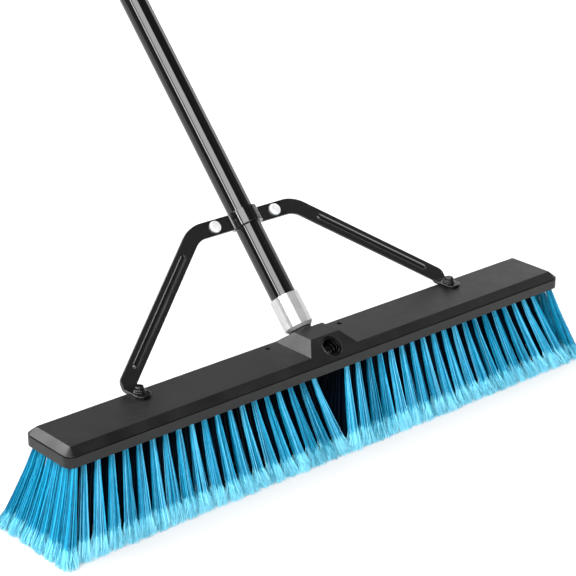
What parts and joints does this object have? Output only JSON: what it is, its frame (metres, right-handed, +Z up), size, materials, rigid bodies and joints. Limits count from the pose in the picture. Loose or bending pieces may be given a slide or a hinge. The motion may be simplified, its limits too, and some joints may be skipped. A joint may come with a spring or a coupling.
{
  "type": "push broom",
  "caption": "Wide floor broom: a long moulded block with flared blue bristles, and a leaning tube handle that screws into its socket and is steadied by a bolted steel brace.",
  "frame": {"origin": "on the floor, at the bristle tips, under the middle of the block", "axes": "+X along the block, +Y to the rear, where the handle leans, +Z up"},
  "size_m": [0.6634, 1.0256, 1.1354],
  "materials": {
    "moulded_black": "fine textured moulded plastic",
    "blue_bristle": "satin filaments with pale split tips",
    "black_bristle": "satin filaments",
    "gloss_black_steel": "gloss powder coat",
    "black_steel": "satin black coat",
    "bright_aluminium": "turned, bright",
    "zinc_steel": "bright zinc plate",
    "black_nylon": "satin moulded plastic",
    "black_rubber": "matte"
  },
  "bodies": {
    "head": {"block_cap": "moulded_black", "bristle_base": "moulded_black", "front_bristles": "blue_bristle", "rear_bristles": "blue_bristle", "left_end_bristles": "blue_bristle", "right_end_bristles": "blue_bristle", "left_inner_bristles": "black_bristle", "right_inner_bristles": "black_bristle", "block_screws": "zinc_steel", "brace": "black_steel", "brace_clamp": "black_steel", "clamp_bolts": "zinc_steel", "clamp_nuts": "zinc_steel", "foot_washers": "black_steel", "foot_screws": "black_steel"},
    "washer": {"seat_washer": "black_rubber"},
    "handle": {"handle_tube": "gloss_black_steel", "ferrule": "bright_aluminium", "threaded_tip": "black_nylon", "handle_end_cap": "black_nylon"}
  },
  "joints": [
    {"name": "handle_slide", "type": "slide", "parent": "head", "child": "washer", "axis": [0, 0.6756, 0.7373], "range_m": [0, 0.0165]},
    {"name": "handle_turn", "type": "hinge", "parent": "washer", "child": "handle", "pos_m": [0, 0.0206, 0.09885], "axis": [0, 0.6756, 0.7373], "range_deg": [0, 1170]}
  ],
  "couplings": [
    {"joint": "handle_turn", "follows": "handle_slide", "rad_per_m": 1236.8}
  ]
}
